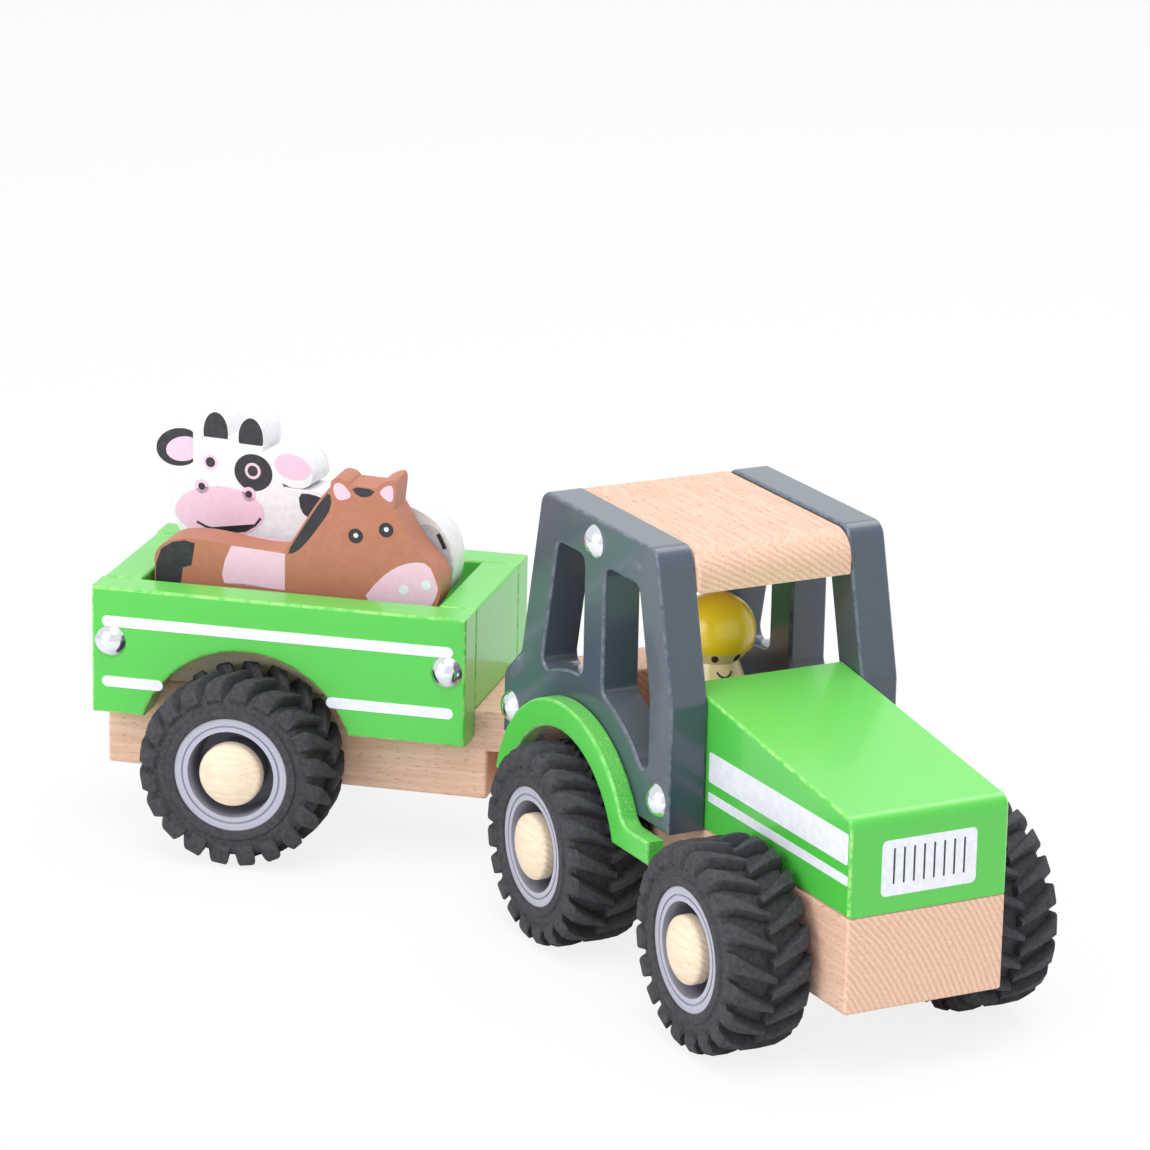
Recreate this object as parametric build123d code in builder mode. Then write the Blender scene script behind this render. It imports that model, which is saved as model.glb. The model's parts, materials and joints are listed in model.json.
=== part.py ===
from build123d import *
from math import cos, radians, sin, sqrt
import os

# Toy farm tractor with a hitched box trailer, a driver and three animals.
# +X is the tractor's forward direction, +Y its left, +Z up, and the floor is z = 0.
# Sizes are in millimetres. The tractor's pieces are laid out from its nose (x = 0,
# backwards is negative) and the trailer's from the hitch peg, each in its own frame.

# ---- driving dimensions ------------------------------------------------------------
# timber and boards
body_width = 50.0            # width of both chassis, the hood, the roof and the box's inside
chassis_height = 28.0
ground_clearance = 21.0      # floor to the underside of both chassis
board = 12.0                 # thickness of cab panels and trailer boards
edge_round = 1.0             # eased edges of wood and boards

# wheels
tyre_diameter = 60.0
tyre_width = 25.6
tyre_shoulder = 4.0          # rounding between tread and side wall
rim_diameter = 35.6
wheel_gap = 1.8              # chassis side to the tyre's inner wall
axle_diameter = 8.0
hub_diameter = 17.0
cap_diameter = 19.6
cap_length = 7.0
cap_dome = 2.8               # height of the cap's domed end
cap_grip = 4.0               # how far the axle reaches into a cap
cap_seat = 4.6               # a cap's inner face lies this far inside the tyre's side
rim_recess = 1.1             # ring face below the tyre's side
rim_ring = 4.2               # width of the rim's flat ring
rim_web = 5.0
rim_groove = 0.6
running_fit = 0.08           # radial clearance of everything that turns or lifts
end_play = 0.3               # a wheel's play along its axle, at each end

# tractor lengths, from the nose backwards
front_axle_x = -41.8
rear_axle_x = -134.4
hood_length = 90.0
hood_front_height = 28.0     # above the chassis
hood_rear_height = 40.5
cab_front_x = -79.5          # front edge of the cab panels below the bend
cab_bend_height = 37.0       # bend in that edge, above the chassis
cab_height = 80.6            # top of the panels above the chassis
cab_top_front_x = -90.5
cab_top_rear_x = -160.0
cab_waist_x = -171.6
cab_waist_height = 28.4
cab_tail_height = 19.1       # top of the panels' rear end
panel_round = 5.0            # rounding of the panels' outline
tail_x = -182.4              # rear end of the panels, the rear block and the chassis
window_margin = 13.0         # panel left around the windows
window_round = 3.2
window_sill = 7.9            # panel left between mudguard and windows
pillar = 12.4                # panel left between the two windows
pillar_x = -126.8
arch_gap = 4.2               # tyre to wheel arch and mudguard
mudguard_depth = 8.4         # radial width of the mudguard's band
mudguard_thickness = 6.0
mudguard_foot_top = -1.6     # top of the step in front of the mudguard, from the chassis top
mudguard_foot = 6.9          # thickness of that step
rear_block_length = 20.0
rear_block_height = 20.5
hood_nose_round = 3.5
roof_thickness = 12.3
roof_drop = 0.9              # the roof lies this much lower than the panels' tops
roof_nose_round = 8.0

# driver
driver_x = -120.0
helmet_radius = 11.4
driver_height = 56.0         # from the chassis to the top of the helmet
helmet_step = 0.6            # the helmet stands this far proud of the face
helmet_rim = 4.7             # the helmet reaches this far below the head's middle
driver_waist = 10.0          # radius of the peg body
driver_neck = 6.5
driver_stub_diameter = 10.0
driver_stub_length = 11.0

# hitch: two half-height tongues lapped over one another on a vertical peg
hitch_reach = 22.0           # peg axis to either chassis' full-height end
tongue_radius = 20.0
tongue_taper = 15.0          # the tongues are full width up to this far from the peg
upper_tongue = 12.4
hitch_collar = 1.5
peg_diameter = 10.0
peg_head = 5.0
hitch_angle = 48.4           # how far the trailer is swung at rest, degrees

# trailer, from the hitch peg backwards
box_front_x = -26.0
box_length = 118.0
box_height = 32.0            # above the chassis top
box_skirt = 8.0              # how far the side boards reach below the chassis top
trailer_axle_x = -95.1
trailer_inset = 1.0          # chassis end to the box's rear face
box_floor = 15.5             # thickness of the floor block

# screws with a domed head
screw_head_diameter = 10.0
screw_head_height = 2.8
screw_diameter = 4.0
screw_grip = 8.0             # length of shank beyond the board

# animals, cut from thick board
animal_thickness = 12.5
animal_gap = 0.2             # feet to the floor
horse_back_y = -4.5          # each animal's far face in the box
sheep_back_y = 10.0
cow_back_y = 24.0
cow_turn = -8.0

# ---- derived places ----------------------------------------------------------------
half_body = body_width / 2
chassis_top = ground_clearance + chassis_height
axle_z = tyre_diameter / 2
wheel_y = half_body + wheel_gap + tyre_width / 2
cap_inset = tyre_width / 2 - cap_seat            # a cap's inner face from the wheel's middle
cap_tip_y = wheel_y + cap_inset + cap_length
axle_length = 2 * (wheel_y + cap_inset + cap_grip)
hitch_x = tail_x - hitch_reach
lap_z = chassis_top - upper_tongue
box_rear_x = box_front_x - box_length
box_half = half_body + board
box_top = chassis_top + box_height
floor_top = chassis_top + box_floor
arch_radius = tyre_diameter / 2 + arch_gap
panel_top = chassis_top + cab_height
roof_top = panel_top - roof_drop
roof_bottom = roof_top - roof_thickness

# The origin is the middle of everything's footprint: the nose and the trailer's rear
# corners set its length, the near rear corner and the left axle caps its width.
swing = radians(hitch_angle)
rear_corner_x = hitch_x + box_rear_x * cos(swing) - box_half * sin(swing)
near_corner_y = box_rear_x * sin(swing) - box_half * cos(swing)
nose_x = -rear_corner_x / 2
middle_y = -(near_corner_y + cap_tip_y) / 2

tractor = Plane(origin=(nose_x, middle_y, 0))
hitch = Plane(origin=(nose_x + hitch_x, middle_y, 0))
trailer = Plane(origin=hitch.origin, x_dir=(cos(swing), sin(swing), 0), z_dir=(0, 0, 1))

# screw places as (x, z) on the boards' outer faces
panel_screw_places = [
    (pillar_x, roof_bottom + roof_thickness / 2),
    (cab_front_x - 6.7, chassis_top + 8.2),
    (tail_x + 5.0, chassis_top + 9.2),
]
box_screw_places = [
    (box_rear_x + board / 2, chassis_top + box_height / 2 - 1),
    (box_front_x - board / 2, chassis_top + box_height / 2 - 1),
]

sides = {"right": -1, "left": 1}

os.makedirs("parts", exist_ok=True)


def save(builder, name):
    """Label a finished piece and write it under its name."""
    builder.part.label = name
    export_step(builder.part, f"parts/{name}.step")


# ---- planes ------------------------------------------------------------------------
def side_plane(frame, y):
    """Upright plane along a frame at y: local x forward, local y up, facing right."""
    return Plane(origin=frame.from_local_coords((0, y, 0)), x_dir=frame.x_dir, z_dir=-frame.y_dir)


def board_plane(frame, side, inner_y, thickness):
    """Left face of an upright board that starts inner_y out from the middle on a side."""
    return side_plane(frame, -inner_y if side < 0 else inner_y + thickness)


def spin_plane(frame, x, side):
    """Plane through a wheel's middle: local x points outward along its axle."""
    origin = frame.from_local_coords((x, side * wheel_y, axle_z))
    return Plane(origin=origin, x_dir=frame.y_dir * side, z_dir=frame.x_dir)


def upright_plane(frame, x, z):
    """Plane through a vertical turning axis: local x is the radius, local y the height."""
    return Plane(origin=frame.from_local_coords((x, 0, z)), x_dir=frame.x_dir, z_dir=-frame.y_dir)


# ---- blocks ------------------------------------------------------------------------
def block(frame, x_low, x_high, z_low, z_high):
    """Body-wide block with eased edges."""
    with BuildPart() as piece:
        with BuildSketch(frame.offset(z_low)):
            with Locations(((x_low + x_high) / 2, 0)):
                Rectangle(x_high - x_low, body_width)
        extrude(amount=z_high - z_low)
        fillet(piece.edges(), edge_round)
    return piece


def cut_axle_bore(frame, x):
    """Bore an axle hole right through the block being built."""
    with BuildSketch(side_plane(frame, half_body + 1)) as bore:
        with Locations((x, axle_z)):
            Circle(axle_diameter / 2)
    extrude(bore.sketch, amount=body_width + 2, mode=Mode.SUBTRACT)


def cut_screw_holes(frame, places):
    """Blind screw holes from both sides of the block being built."""
    for side in sides.values():
        with BuildSketch(side_plane(frame, side * half_body)) as holes:
            with Locations(*places):
                Circle(screw_diameter / 2)
        extrude(holes.sketch, amount=side * (screw_grip + 1), mode=Mode.SUBTRACT)


def tongue(root_x, z_low, z_high, frame):
    """Hitch tongue with its rounded end on the peg, from a chassis end at root_x."""
    taper_x = tongue_taper if root_x > 0 else -tongue_taper
    with BuildSketch(frame.offset(z_low)) as plan:
        with BuildLine():
            CenterArc((0, 0), tongue_radius, 0, 360)
            Line((root_x, -half_body), (root_x, half_body))
            Line((taper_x, -half_body), (taper_x, half_body))
        make_hull()
    extrude(plan.sketch, amount=z_high - z_low)


def cut_peg_hole():
    """Hole for the hitch peg, right through the tongue being built."""
    with BuildSketch(hitch) as hole:
        Circle(peg_diameter / 2 + running_fit)
    extrude(hole.sketch, amount=chassis_top + 1, mode=Mode.SUBTRACT)


# Tractor's long bottom block, with the lower hitch tongue and the driver's hole.
with BuildPart() as chassis:
    add(block(tractor, tail_x, 0, ground_clearance, chassis_top).part)
    tongue(hitch_reach + edge_round, ground_clearance, lap_z - hitch_collar, hitch)
    cut_peg_hole()
    with BuildSketch(tractor.offset(chassis_top)):
        with Locations((driver_x, 0)):
            Circle(driver_stub_diameter / 2 + running_fit)
    extrude(amount=-driver_stub_length - 1, mode=Mode.SUBTRACT)
    cut_axle_bore(tractor, front_axle_x)
    cut_axle_bore(tractor, rear_axle_x)
save(chassis, "chassis")

# Wedge-shaped hood: it rises from the nose to the driver.
with BuildPart() as hood:
    with BuildSketch(side_plane(tractor, half_body)) as hood_outline:
        with BuildLine():
            Polyline(
                (0, chassis_top),
                (0, chassis_top + hood_front_height),
                (-hood_length, chassis_top + hood_rear_height),
                (-hood_length, chassis_top),
                close=True,
            )
        make_face()
        nose_corner = hood_outline.vertices().sort_by_distance((0, chassis_top + hood_front_height))[0]
        fillet(nose_corner, hood_nose_round)
    extrude(amount=body_width)
    fillet(hood.faces().filter_by(Axis.Y).edges(), edge_round)
    cut_screw_holes(tractor, panel_screw_places[1:2])
save(hood, "hood")

# Block between the panels' rear ends.
with BuildPart() as rear_block:
    add(block(tractor, tail_x, tail_x + rear_block_length, chassis_top, chassis_top + rear_block_height).part)
    cut_screw_holes(tractor, panel_screw_places[2:3])
save(rear_block, "rear_block")


# ---- cab ---------------------------------------------------------------------------
def front_edge_at(z):
    """x of the cab panels' sloping front edge at a height."""
    slope = (cab_top_front_x - cab_front_x) / (cab_height - cab_bend_height)
    return cab_front_x + slope * (z - chassis_top - cab_bend_height)


def rear_edge_at(z):
    """x of the cab panels' sloping rear edge at a height."""
    slope = (cab_waist_x - cab_top_rear_x) / (cab_height - cab_waist_height)
    return cab_top_rear_x + slope * (panel_top - z)


# Roof between the panels' tops, its front edge well rounded.
with BuildPart() as roof:
    roof_front_x = front_edge_at(roof_bottom)
    with BuildSketch(side_plane(tractor, half_body)) as roof_outline:
        with BuildLine():
            Polyline(
                (roof_front_x, roof_bottom),
                (roof_front_x, roof_top),
                (cab_top_rear_x + edge_round, roof_top),
                (cab_top_rear_x + edge_round, roof_bottom),
                close=True,
            )
        make_face()
        fillet(roof_outline.vertices().sort_by_distance((roof_front_x, roof_top))[0], roof_nose_round)
    extrude(amount=body_width)
    fillet(roof.faces().filter_by(Axis.Y).edges(), edge_round)
    cut_screw_holes(tractor, panel_screw_places[0:1])
save(roof, "roof")


def cab_panel(side):
    """Side panel of the cab: two windows, a bent front edge and an arch over the wheel."""
    window_top = panel_top - window_margin
    bend_z = chassis_top + cab_bend_height
    sill_radius = arch_radius + mudguard_depth + window_sill
    with BuildPart() as panel:
        with BuildSketch(board_plane(tractor, side, half_body, board)) as outline:
            with BuildLine():
                Polyline(
                    (cab_front_x, chassis_top),
                    (cab_front_x, bend_z),
                    (cab_top_front_x, panel_top),
                    (cab_top_rear_x, panel_top),
                    (cab_waist_x, chassis_top + cab_waist_height),
                    (tail_x, chassis_top + cab_tail_height),
                    (tail_x, chassis_top),
                    close=True,
                )
            make_face()
            fillet(outline.vertices().filter_by_position(Axis.Y, chassis_top + 1, panel_top + 1), panel_round)
            with Locations((rear_axle_x, axle_z)):
                Circle(arch_radius, mode=Mode.SUBTRACT)
        extrude(amount=board)
        with BuildSketch(board_plane(tractor, side, half_body, board)) as windows:
            with BuildLine():
                Polyline(
                    (pillar_x + pillar / 2, axle_z),
                    (pillar_x + pillar / 2, window_top),
                    (front_edge_at(window_top) - window_margin, window_top),
                    (cab_front_x - window_margin, bend_z),
                    (cab_front_x - window_margin, axle_z),
                    close=True,
                )
            make_face()
            with BuildLine():
                Polyline(
                    (pillar_x - pillar / 2, axle_z),
                    (pillar_x - pillar / 2, window_top),
                    (rear_edge_at(window_top) + window_margin, window_top),
                    (rear_edge_at(axle_z) + window_margin, axle_z),
                    close=True,
                )
            make_face()
            with Locations((rear_axle_x, axle_z)):
                Circle(sill_radius, mode=Mode.SUBTRACT)
            fillet(windows.vertices(), window_round)
        extrude(amount=board, mode=Mode.SUBTRACT)
        fillet(panel.faces().filter_by(Axis.Y).edges(), edge_round)
        with BuildSketch(board_plane(tractor, side, half_body, board)):
            with Locations(*panel_screw_places):
                Circle(screw_diameter / 2)
        extrude(amount=board, mode=Mode.SUBTRACT)
    return panel


def mudguard(side):
    """Arched band over a rear wheel with a flat step at its front."""
    band_radius = arch_radius + mudguard_depth
    step_top = chassis_top + mudguard_foot_top
    step_bottom = step_top - mudguard_foot
    step_front_x = cab_front_x - edge_round
    with BuildPart() as guard:
        with BuildSketch(board_plane(tractor, side, box_half, mudguard_thickness)) as outline:
            with Locations((rear_axle_x, axle_z)):
                Circle(band_radius)
            with Locations(((rear_axle_x + step_front_x) / 2, (step_top + step_bottom) / 2)):
                Rectangle(step_front_x - rear_axle_x, mudguard_foot)
            with Locations((rear_axle_x, axle_z)):
                Circle(arch_radius, mode=Mode.SUBTRACT)
            with Locations((rear_axle_x, step_bottom - band_radius)):
                Rectangle(4 * band_radius, 2 * band_radius, mode=Mode.SUBTRACT)
            inner_corner_x = rear_axle_x + sqrt(band_radius**2 - (step_top - axle_z) ** 2)
            inner_corner = outline.vertices().sort_by_distance((inner_corner_x, step_top))[0]
            fillet(inner_corner, panel_round)
        extrude(amount=mudguard_thickness)
        fillet(guard.faces().filter_by(Axis.Y).edges(), edge_round)
    return guard


for name, side in sides.items():
    save(cab_panel(side), f"cab_panel_{name}")
    save(mudguard(side), f"mudguard_{name}")


# ---- screws ------------------------------------------------------------------------
# One screw, standing out along +Z from its seat: a slice of a ball on a shank.
screw_ball_radius = (screw_head_diameter**2 / 4 + screw_head_height**2) / (2 * screw_head_height)
with BuildPart() as screw:
    with Locations((0, 0, screw_head_height - screw_ball_radius)):
        Sphere(screw_ball_radius)
    split(bisect_by=Plane.XY, keep=Keep.TOP)
    with BuildSketch(Plane.XY):
        Circle(screw_diameter / 2)
    extrude(amount=-board - screw_grip)


def dome_screws(frame, places):
    """Domed screws through a body's boards, a matching set on each side."""
    seats = []
    for side in sides.values():
        for x, z in places:
            seat = frame.from_local_coords((x, side * box_half, z))
            seats.append(Plane(origin=seat, x_dir=frame.x_dir, z_dir=frame.y_dir * side))
    with BuildPart() as screws:
        with Locations(*seats):
            add(screw.part)
    return screws


save(dome_screws(tractor, panel_screw_places), "panel_screws")
save(dome_screws(trailer, box_screw_places), "box_screws")


# ---- turned pieces on the axles ----------------------------------------------------
def axle(frame, x):
    """Dowel through a chassis, with a cap gripping each end."""
    with BuildPart() as dowel:
        with BuildSketch(side_plane(frame, axle_length / 2)):
            with Locations((x, axle_z)):
                Circle(axle_diameter / 2)
        extrude(amount=axle_length)
    return dowel


def wheel_rim(plane):
    """Moulded rim: a barrel with a flat grooved ring, a dished web and a long hub."""
    rim_radius = rim_diameter / 2
    ring_x = tyre_width / 2 - rim_recess
    dish_radius = rim_radius - rim_ring
    groove_radius = dish_radius + rim_ring / 3
    bore_radius = axle_diameter / 2 + running_fit
    hub_radius = hub_diameter / 2
    hub_inner_x = -tyre_width / 2 - wheel_gap + end_play
    hub_outer_x = cap_inset - end_play
    with BuildPart() as rim:
        with BuildSketch(plane):
            with BuildLine():
                Polyline(
                    (hub_inner_x, bore_radius),
                    (hub_inner_x, hub_radius),
                    (-rim_web, hub_radius),
                    (-rim_web, dish_radius),
                    (-ring_x, dish_radius),
                    (-ring_x, rim_radius),
                    (ring_x, rim_radius),
                    (ring_x, groove_radius + rim_groove),
                    (ring_x - rim_groove, groove_radius + rim_groove),
                    (ring_x - rim_groove, groove_radius),
                    (ring_x, groove_radius),
                    (ring_x, dish_radius),
                    (0, dish_radius - rim_groove),
                    (0, hub_radius),
                    (hub_outer_x, hub_radius),
                    (hub_outer_x, bore_radius),
                    close=True,
                )
            make_face()
        revolve(axis=Axis(plane.origin, plane.x_dir))
    return rim


def tyre(plane):
    """Rubber tyre at its full size over the lugs, with rounded shoulders."""
    with BuildPart() as ring:
        with BuildSketch(plane) as section:
            with Locations((0, (tyre_diameter + rim_diameter) / 4)):
                Rectangle(tyre_width, (tyre_diameter - rim_diameter) / 2)
            fillet(section.vertices().group_by(Axis.Y)[-1], tyre_shoulder)
        revolve(axis=Axis(plane.origin, plane.x_dir))
    return ring


def axle_cap(plane):
    """Wooden button with a domed end and a blind hole for the axle."""
    cap_radius = cap_diameter / 2
    dome_x = cap_inset + cap_length - cap_dome
    with BuildPart() as cap:
        with BuildSketch(plane) as section:
            with BuildLine():
                ThreePointArc(
                    (dome_x + cap_dome, 0),
                    (dome_x + cap_dome * 0.78, cap_radius / 2),
                    (dome_x, cap_radius),
                )
                Polyline(
                    (dome_x, cap_radius),
                    (cap_inset, cap_radius),
                    (cap_inset, axle_diameter / 2),
                    (cap_inset + cap_grip, axle_diameter / 2),
                    (cap_inset + cap_grip, 0),
                    (dome_x + cap_dome, 0),
                )
            make_face()
            fillet(section.vertices().sort_by_distance((dome_x, cap_radius))[0], cap_dome * 0.6)
            fillet(section.vertices().sort_by_distance((cap_inset, cap_radius))[0], edge_round)
        revolve(axis=Axis(plane.origin, plane.x_dir))
    return cap


axles = {
    "front": (tractor, front_axle_x),
    "rear": (tractor, rear_axle_x),
    "trailer": (trailer, trailer_axle_x),
}
for place, (frame, x) in axles.items():
    save(axle(frame, x), f"axle_{place}")
    for name, side in sides.items():
        plane = spin_plane(frame, x, side)
        save(wheel_rim(plane), f"rim_{place}_{name}")
        save(tyre(plane), f"tyre_{place}_{name}")
        save(axle_cap(plane), f"axle_cap_{place}_{name}")

# ---- driver ------------------------------------------------------------------------
head_z = driver_height - helmet_radius
face_radius = helmet_radius - helmet_step
rim_z = head_z - helmet_rim
chin_z = head_z - sqrt(face_radius**2 - driver_neck**2)
stub_radius = driver_stub_diameter / 2

# Turned peg with a round head, a helmet and a stub that turns in the chassis.
with BuildPart() as driver:
    with BuildSketch(upright_plane(tractor, driver_x, chassis_top)):
        with BuildLine():
            Polyline(
                (0, -driver_stub_length),
                (stub_radius, -driver_stub_length),
                (stub_radius, end_play),
                (driver_waist, end_play),
                (driver_waist, chin_z * 0.75),
                (driver_neck, chin_z),
            )
            RadiusArc((driver_neck, chin_z), (sqrt(face_radius**2 - helmet_rim**2), rim_z), -face_radius)
            Line(
                (sqrt(face_radius**2 - helmet_rim**2), rim_z),
                (sqrt(helmet_radius**2 - helmet_rim**2), rim_z),
            )
            ThreePointArc(
                (sqrt(helmet_radius**2 - helmet_rim**2), rim_z),
                (helmet_radius, head_z),
                (0, driver_height),
            )
            Line((0, driver_height), (0, -driver_stub_length))
        make_face()
    revolve(axis=Axis(tractor.from_local_coords((driver_x, 0, 0)), (0, 0, 1)))
save(driver, "driver")

# ---- hitch peg ---------------------------------------------------------------------
# Dowel with a collar that carries the trailer's tongue and a rounded top.
with BuildPart() as hitch_peg:
    with BuildSketch(hitch.offset(ground_clearance)):
        Circle(peg_diameter / 2)
    extrude(amount=chassis_height + peg_head)
    fillet(hitch_peg.edges().group_by(Axis.Z)[-1], peg_diameter / 3)
    with BuildSketch(hitch.offset(lap_z - hitch_collar)):
        Circle(peg_diameter * 0.8)
    extrude(amount=hitch_collar)
save(hitch_peg, "hitch_peg")

# ---- trailer -----------------------------------------------------------------------
# Trailer's long bottom block, with the upper hitch tongue.
with BuildPart() as trailer_chassis:
    add(block(trailer, box_rear_x + trailer_inset, -hitch_reach, ground_clearance, chassis_top).part)
    tongue(-hitch_reach - edge_round, lap_z, chassis_top, trailer)
    cut_peg_hole()
    cut_axle_bore(trailer, trailer_axle_x)
save(trailer_chassis, "trailer_chassis")

# Floor block that the animals stand on, between the box's four boards.
save(block(trailer, box_rear_x + board, box_front_x - board, chassis_top, floor_top), "box_floor_block")

# Boards across the front and the rear of the box.
for name, x in {"front": box_front_x - board, "rear": box_rear_x}.items():
    with BuildPart() as end_board:
        add(block(trailer, x, x + board, chassis_top, box_top).part)
        cut_screw_holes(trailer, [place for place in box_screw_places if x < place[0] < x + board])
    save(end_board, f"box_end_{name}")


def box_side(side):
    """Long side board of the box, with an arch over the wheel."""
    with BuildPart() as side_board:
        with BuildSketch(board_plane(trailer, side, half_body, board)):
            with Locations(((box_rear_x + box_front_x) / 2, (box_top + chassis_top - box_skirt) / 2)):
                Rectangle(box_length, box_height + box_skirt)
            with Locations((trailer_axle_x, axle_z)):
                Circle(arch_radius, mode=Mode.SUBTRACT)
        extrude(amount=board)
        fillet(side_board.faces().filter_by(Axis(trailer.origin, trailer.y_dir)).edges(), edge_round)
        with BuildSketch(board_plane(trailer, side, half_body, board)):
            with Locations(*box_screw_places):
                Circle(screw_diameter / 2)
        extrude(amount=board, mode=Mode.SUBTRACT)
    return side_board


for name, side in sides.items():
    save(box_side(side), f"box_side_{name}")


# ---- animals -----------------------------------------------------------------------
def cut_out(sketch):
    """Thick board cut to an outline drawn on its far face."""
    with BuildPart() as animal:
        extrude(sketch, amount=animal_thickness)
    return animal


def animal_plane(x, back_y, turn=0.0):
    """Upright plane with its corner on the box floor: local x forward, local y up."""
    corner = trailer.from_local_coords((x, back_y, floor_top + animal_gap))
    heading = trailer.x_dir.rotate(Axis.Z, turn)
    return Plane(origin=corner, x_dir=heading, z_dir=heading.cross(Vector(0, 0, 1)))


inside_rear_x = box_rear_x + board + 1.0

# Horse: a long low back, a raised head with two ears and a round muzzle.
with BuildSketch(animal_plane(inside_rear_x, horse_back_y)) as horse:
    with BuildLine():
        Line((0.6, 9), (0.6, 19))
        Spline((0.6, 19), (2.2, 24.6), (6, 27), (10.3, 27.9), (24, 27.2), (41.6, 26.2))
        Spline((41.6, 26.2), (46.9, 34), (53.2, 44), (56.6, 48.3))
        Spline((56.6, 48.3), (57.4, 50.6), (59.4, 51.1), (62.6, 49.3))
        Line((62.6, 49.3), (71, 49))
        Spline((71, 49), (74, 51.3), (76.7, 51.8), (77.3, 49), (77.1, 42.3))
        Spline((77.1, 42.3), (79, 39), (84.7, 30.1), (89.5, 25.2), (91.4, 17.5), (87, 9.5), (79, 8))
        Spline((79, 8), (75, 6), (73.5, 0))
        Polyline((73.5, 0), (60, 0), (57, 9), (27, 9), (23, 0), (6, 0), (0.6, 9))
    make_face()
save(cut_out(horse.sketch), "horse")

# Cow: a round head with horns and hanging ears at one end of a square body.
with BuildSketch(animal_plane(inside_rear_x, cow_back_y, cow_turn)) as cow:
    with Locations((31, 20)):
        RectangleRounded(46, 40, 7)
    with Locations((17.5, 33.5)):
        Ellipse(20, 20.5)
    with Locations((1, 48.6)):
        Ellipse(8.4, 6.2, rotation=15)
    with Locations((38.3, 46.5)):
        Ellipse(8.6, 5.6, rotation=-28)
    with Locations((13.4, 54.6), (25.4, 54)):
        Ellipse(4.4, 6.8)
    with Locations((31, 4)):
        Rectangle(18, 8.01, mode=Mode.SUBTRACT)
save(cut_out(cow.sketch), "cow")

# Sheep: one round woolly shape on two short legs.
with BuildSketch(animal_plane(inside_rear_x + 51, sheep_back_y)) as sheep:
    with Locations((21.5, 22.5)):
        Ellipse(19.2, 18)
    with Locations((13, 8), (29, 8)):
        RectangleRounded(9, 16, 2)
save(cut_out(sheep.sketch), "sheep")
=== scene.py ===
# %% [markdown]
# # A wooden toy tractor with its trailer and animals
#
# The solid shapes come from the CAD frame and stay as they are. This script gives them
# paint, wood, metal and rubber, and adds what is too fine for the CAD: the tyre lugs,
# the printed stripes, the grille and the painted faces.

import json
from math import cos, pi, radians, sin, tau

import bmesh
import bpy
from mathutils import Matrix, Vector


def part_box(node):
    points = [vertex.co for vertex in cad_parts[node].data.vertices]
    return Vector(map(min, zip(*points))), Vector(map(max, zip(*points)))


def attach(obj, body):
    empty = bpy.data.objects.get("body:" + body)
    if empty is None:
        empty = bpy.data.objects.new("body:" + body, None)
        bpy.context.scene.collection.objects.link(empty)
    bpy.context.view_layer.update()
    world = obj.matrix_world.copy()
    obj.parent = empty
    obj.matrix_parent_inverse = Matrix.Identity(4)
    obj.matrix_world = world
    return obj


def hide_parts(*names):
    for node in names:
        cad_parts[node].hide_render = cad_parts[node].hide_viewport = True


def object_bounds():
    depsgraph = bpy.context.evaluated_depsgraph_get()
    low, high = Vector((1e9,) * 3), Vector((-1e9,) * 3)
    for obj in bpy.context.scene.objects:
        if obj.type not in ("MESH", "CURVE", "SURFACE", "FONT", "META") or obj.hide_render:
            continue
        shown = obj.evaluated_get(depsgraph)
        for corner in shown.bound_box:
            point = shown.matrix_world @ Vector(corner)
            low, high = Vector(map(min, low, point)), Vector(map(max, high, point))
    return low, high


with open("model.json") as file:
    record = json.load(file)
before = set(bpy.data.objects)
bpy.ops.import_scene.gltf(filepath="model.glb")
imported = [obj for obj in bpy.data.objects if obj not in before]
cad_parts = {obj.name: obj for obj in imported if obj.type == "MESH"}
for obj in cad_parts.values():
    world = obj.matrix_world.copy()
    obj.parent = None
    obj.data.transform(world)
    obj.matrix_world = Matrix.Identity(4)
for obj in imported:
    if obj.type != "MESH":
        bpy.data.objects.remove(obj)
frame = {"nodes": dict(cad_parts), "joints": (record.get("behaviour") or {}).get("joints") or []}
nodes = frame["nodes"]
cad_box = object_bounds()
MM = 0.001
print("CAD nodes:", len(nodes))

# %% [markdown]
# ## Where the tractor and the trailer stand
#
# Paint is laid out in millimetres from two handy corners: the middle of the tractor's
# nose, and the middle of the hitch peg, with the trailer's own heading. Both places are
# read from the frame, so the paint follows the CAD.

# %% Tractor and trailer places
hood_low, hood_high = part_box("hood")
peg_low, peg_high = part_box("hitch_peg")
joints = {joint["child"]: joint for joint in frame["joints"]}
trailer_left = Vector(joints["wheel_trailer_left"]["axis"])
if trailer_left.y < 0:
    trailer_left.negate()
heading = -Vector((0, 1)).angle_signed(Vector((trailer_left.x, trailer_left.y)))
tractor_at = Matrix.Translation((hood_high.x, (hood_low.y + hood_high.y) / 2, 0))
peg_middle = ((peg_low.x + peg_high.x) / 2, (peg_low.y + peg_high.y) / 2, 0)
trailer_at = Matrix.Translation(peg_middle) @ Matrix.Rotation(heading, 4, "Z")
print("trailer heading:", round(heading / radians(1), 1), "degrees")

# %% [markdown]
# ## Node helpers
#
# A material is a small graph. These helpers add a node and wire it up, and a group is a
# graph with named inputs that several materials share, like a pot of paint that can be
# thinned or tinted.


# %% Node helpers
def add_node(tree, kind, links=(), **settings):
    """Adds a node; links are (input, value or socket) pairs."""
    node = tree.nodes.new(kind)
    for key, value in settings.items():
        setattr(node, key, value)
    for name, value in links:
        if isinstance(value, bpy.types.NodeSocket):
            tree.links.new(value, node.inputs[name])
        else:
            node.inputs[name].default_value = value
    return node


def sums(tree, operation, a, b=0.5):
    """One Math node."""
    return add_node(tree, "ShaderNodeMath", [(0, a), (1, b)], operation=operation).outputs[0]


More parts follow.
